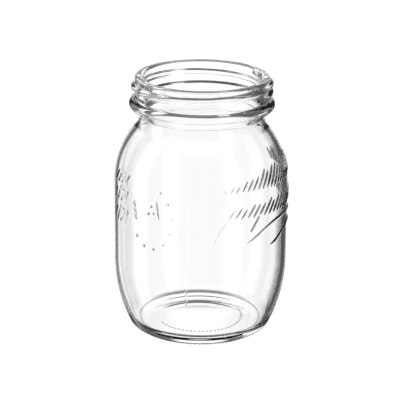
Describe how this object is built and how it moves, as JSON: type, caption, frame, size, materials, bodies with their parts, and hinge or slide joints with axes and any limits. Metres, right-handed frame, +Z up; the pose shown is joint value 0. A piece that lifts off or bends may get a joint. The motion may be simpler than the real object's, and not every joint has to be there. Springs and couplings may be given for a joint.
{
  "type": "mason jar",
  "caption": "Open round-shouldered glass preserving jar with an outside screw thread, a bead under it, raised ears of grain on one side and a stippled foot.",
  "frame": {"origin": "centre of the standing ring, on the surface that the jar stands on", "axes": "+Z up along the jar's axis; -Y is the side seen from the front, +X its right"},
  "size_m": [0.0867, 0.0862, 0.1294],
  "materials": {
    "glass": "clear fire-polished soda-lime glass, very faintly green, raised work in the same glass"
  },
  "bodies": {
    "root": {"bottom": "glass", "heel": "glass", "body_wall": "glass", "shoulder": "glass", "transfer_bead": "glass", "neck_finish": "glass", "sealing_lip": "glass", "screw_thread": "glass", "ear_grains": "glass", "tendrils": "glass", "leaf_strokes": "glass", "label_frame": "glass", "berries": "glass", "mould_seams": "glass", "stipple_ring": "glass", "code_dots": "glass"}
  },
  "joints": []
}
